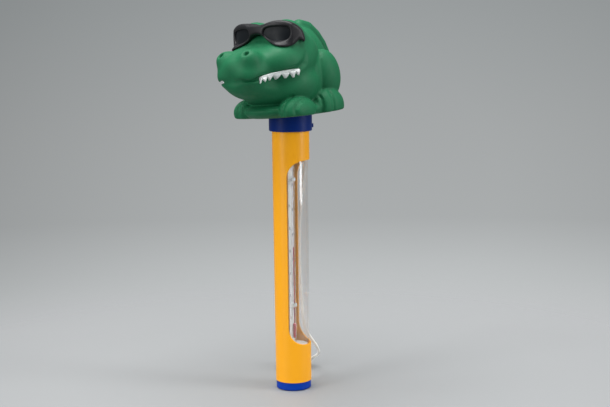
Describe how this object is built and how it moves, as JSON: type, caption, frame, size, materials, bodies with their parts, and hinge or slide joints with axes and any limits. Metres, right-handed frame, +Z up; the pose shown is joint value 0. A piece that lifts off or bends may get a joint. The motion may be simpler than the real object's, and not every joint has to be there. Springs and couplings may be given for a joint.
{
  "type": "floating pool thermometer",
  "caption": "Pool thermometer: a crocodile float in sunglasses on a weighted tube with a side window, a sealed spirit thermometer inside and a cord tether.",
  "frame": {"origin": "centre of the bottom cap's flat underside, on the tube's axis", "axes": "+Z up along the tube, the crocodile looks along -Y and its left side is +X"},
  "size_m": [0.0719, 0.1066, 0.2445],
  "materials": {
    "float_green": "soft moulded vinyl, satin",
    "glasses_black": "painted relief, gloss lenses in a satin frame",
    "teeth_white": "painted, satin",
    "collar_navy": "moulded, semi-gloss",
    "cap_blue": "moulded, semi-gloss",
    "tube_yellow": "moulded, semi-gloss",
    "sleeve_clear": "clear polished tube",
    "plug_white": "moulded",
    "card_white": "printed card with plain numbers",
    "stem_glass": "clear drawn glass",
    "spirit_red": "dyed spirit",
    "clip_clear": "moulded",
    "seal_rubber": "matt",
    "ballast_steel": "plated discs",
    "cord_white": "twisted nylon cord"
  },
  "bodies": {
    "housing": {"bottom_cap": "cap_blue", "housing_tube": "tube_yellow", "collar": "collar_navy", "ballast_disc_1": "ballast_steel", "ballast_disc_2": "ballast_steel", "ballast_disc_3": "ballast_steel", "ballast_pad": "seal_rubber", "clear_sleeve": "sleeve_clear", "lower_plug": "plug_white", "upper_plug": "plug_white", "lower_seal_ring": "seal_rubber", "upper_seal_ring": "seal_rubber", "scale_card": "card_white", "thermometer_glass": "stem_glass", "bulb_spirit": "spirit_red", "stem_clip_lower": "clip_clear", "stem_clip_upper": "clip_clear", "tether_knot": "cord_white", "tether_cord": "cord_white", "tether_coil": "cord_white", "tether_end_knot": "cord_white"},
    "float_figure": {"crocodile_float": "float_green", "sunglasses": "glasses_black", "teeth_left": "teeth_white", "teeth_right": "teeth_white"},
    "spirit": {"spirit_column": "spirit_red"}
  },
  "joints": [
    {"name": "figure_swivel", "type": "hinge", "parent": "housing", "child": "float_figure", "pos_m": [0, 0, 0.186], "axis": [0, 0, 1], "continuous": true},
    {"name": "spirit_rise", "type": "slide", "parent": "housing", "child": "spirit", "axis": [0, 0, 1], "range_m": [-0.0481, 0.0421], "deforming": ["spirit_column"]}
  ]
}
